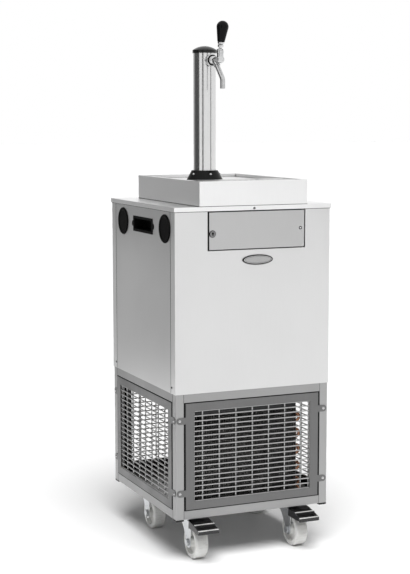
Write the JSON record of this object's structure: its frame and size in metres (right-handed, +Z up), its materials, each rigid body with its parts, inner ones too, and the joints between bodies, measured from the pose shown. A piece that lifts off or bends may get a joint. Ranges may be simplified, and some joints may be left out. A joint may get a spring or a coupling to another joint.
{
  "type": "mobile beer cooler with tap tower",
  "caption": "Tall sheet-metal beer cooler on a square-tube base with mesh grilles and swivel casters, with a raised drip top and a round tower with a lever tap.",
  "frame": {"origin": "on the floor, under the middle of the whole outline", "axes": "+X to the right seen from the front, +Y to the back, +Z up"},
  "size_m": [0.509, 0.604, 1.5922],
  "materials": {
    "frame_tube": "satin brushed square tube",
    "grille_steel": "satin brushed sheet and bright rods",
    "case_sheet": "fine upright brushing",
    "riser_sheet": "fine brushing",
    "floor_sheet": "dull mill finish",
    "screw_steel": "polished",
    "caster_zinc": "bright zinc plate",
    "wheel_nylon": "satin white nylon",
    "pedal_coat": "dark satin coat",
    "black_plastic": "fine grained black",
    "badge_metal": "bright, bare",
    "tower_steel": "polished with fine upright brushing",
    "tap_chrome": "polished chrome",
    "knob_plastic": "glossy black",
    "compressor_coat": "satin black coat",
    "fin_aluminium": "mill finish",
    "galvanised": "galvanised",
    "coil_steel": "drawn tube",
    "tank_foam": "rigid foam with a steel liner",
    "cover_plastic": "moulded cover",
    "beer_tube": "food-grade tube",
    "motor_coat": "grey motor paint",
    "fitting_plastic": "grey moulded fitting"
  },
  "bodies": {
    "cabinet": {"corner_posts": "frame_tube", "frame_rails": "frame_tube", "post_end_caps": "black_plastic", "base_plate": "floor_sheet", "front_grille": "grille_steel", "back_grille": "grille_steel", "left_grille": "grille_steel", "right_grille": "grille_steel", "grille_screws": "screw_steel", "caster_plates": "caster_zinc", "caster_bolts": "screw_steel", "front_panel": "case_sheet", "back_panel": "case_sheet", "left_panel": "case_sheet", "right_panel": "case_sheet", "case_screws": "screw_steel", "lid": "case_sheet", "drip_riser": "riser_sheet", "door_pivots": "galvanised", "control_niche": "galvanised", "side_plugs": "black_plastic", "handle_cups": "black_plastic", "badge_plate": "badge_metal", "tower_flange": "black_plastic", "flange_screws": "screw_steel", "tower_column": "tower_steel", "tower_cap": "black_plastic", "tap_shank": "tap_chrome", "tap_collar": "tap_chrome", "tap_body": "tap_chrome", "tap_spout": "tap_chrome", "insulated_tank": "tank_foam", "tank_cover": "cover_plastic", "beer_coil": "coil_steel", "evaporator_coil": "coil_steel", "beer_line": "beer_tube", "agitator_motor": "motor_coat", "compressor": "compressor_coat", "condenser": "fin_aluminium", "fan_housing": "galvanised", "cable_gland": "fitting_plastic", "beer_inlet": "fitting_plastic"},
    "front_left_caster": {"front_left_fork": "caster_zinc"},
    "front_left_roller": {"front_left_wheel": "wheel_nylon"},
    "front_left_brake": {"front_left_brake_pedal": "pedal_coat"},
    "front_right_caster": {"front_right_fork": "caster_zinc"},
    "front_right_roller": {"front_right_wheel": "wheel_nylon"},
    "front_right_brake": {"front_right_brake_pedal": "pedal_coat"},
    "rear_left_caster": {"rear_left_fork": "caster_zinc"},
    "rear_left_roller": {"rear_left_wheel": "wheel_nylon"},
    "rear_right_caster": {"rear_right_fork": "caster_zinc"},
    "rear_right_roller": {"rear_right_wheel": "wheel_nylon"},
    "grid": {"drip_grid": "riser_sheet"},
    "door": {"access_door": "case_sheet"},
    "lock": {"cam_lock": "screw_steel"},
    "dial": {"thermostat_dial": "black_plastic"},
    "tap_handle": {"tap_lever": "tap_chrome", "lever_knob": "knob_plastic"},
    "stirrer": {"agitator_shaft": "coil_steel"},
    "fan": {"fan_blades": "fin_aluminium"}
  },
  "joints": [
    {"name": "front_left_swivel", "type": "hinge", "parent": "cabinet", "child": "front_left_caster", "pos_m": [-0.166, -0.158, 0.05], "axis": [0, 0, 1], "continuous": true},
    {"name": "front_left_roll", "type": "hinge", "parent": "front_left_caster", "child": "front_left_roller", "pos_m": [-0.166, -0.206, 0.05], "axis": [1, 0, 0], "continuous": true},
    {"name": "front_left_brake_press", "type": "hinge", "parent": "front_left_caster", "child": "front_left_brake", "pos_m": [-0.166, -0.22, 0.104], "axis": [1, 0, 0], "range_deg": [0, 10]},
    {"name": "front_right_swivel", "type": "hinge", "parent": "cabinet", "child": "front_right_caster", "pos_m": [0.166, -0.158, 0.05], "axis": [0, 0, 1], "continuous": true},
    {"name": "front_right_roll", "type": "hinge", "parent": "front_right_caster", "child": "front_right_roller", "pos_m": [0.166, -0.206, 0.05], "axis": [1, 0, 0], "continuous": true},
    {"name": "front_right_brake_press", "type": "hinge", "parent": "front_right_caster", "child": "front_right_brake", "pos_m": [0.166, -0.22, 0.104], "axis": [1, 0, 0], "range_deg": [0, 10]},
    {"name": "rear_left_swivel", "type": "hinge", "parent": "cabinet", "child": "rear_left_caster", "pos_m": [-0.166, 0.182, 0.05], "axis": [0, 0, 1], "continuous": true},
    {"name": "rear_left_roll", "type": "hinge", "parent": "rear_left_caster", "child": "rear_left_roller", "pos_m": [-0.166, 0.134, 0.05], "axis": [1, 0, 0], "continuous": true},
    {"name": "rear_right_swivel", "type": "hinge", "parent": "cabinet", "child": "rear_right_caster", "pos_m": [0.166, 0.182, 0.05], "axis": [0, 0, 1], "continuous": true},
    {"name": "rear_right_roll", "type": "hinge", "parent": "rear_right_caster", "child": "rear_right_roller", "pos_m": [0.20277, 0.15115, 0.05], "axis": [0.6428, 0.766, 0], "continuous": true},
    {"name": "tap_lever_pull", "type": "hinge", "parent": "cabinet", "child": "tap_handle", "pos_m": [-0.067, -0.16, 1.508], "axis": [1, 0, 0], "range_deg": [0, 40]},
    {"name": "door_swing", "type": "hinge", "parent": "cabinet", "child": "door", "pos_m": [0.1613, -0.2498, 0.9846], "axis": [0, 0, 1], "range_deg": [0, 105]},
    {"name": "lock_turn", "type": "hinge", "parent": "door", "child": "lock", "pos_m": [-0.1325, -0.254, 0.9766], "axis": [0, 1, 0], "range_deg": [-90, 0]},
    {"name": "dial_turn", "type": "hinge", "parent": "cabinet", "child": "dial", "pos_m": [-0.00725, -0.198, 0.984], "axis": [0, 1, 0], "range_deg": [0, 270]},
    {"name": "grid_lift", "type": "slide", "parent": "cabinet", "child": "grid", "axis": [0, 0, 1], "range_m": [0, 0.08]},
    {"name": "fan_spin", "type": "hinge", "parent": "cabinet", "child": "fan", "pos_m": [-0.0215, -0.168, 0.2885], "axis": [0, 1, 0], "continuous": true},
    {"name": "stirrer_spin", "type": "hinge", "parent": "cabinet", "child": "stirrer", "pos_m": [0.06, 0.072, 0.922], "axis": [0, 0, 1], "continuous": true}
  ]
}
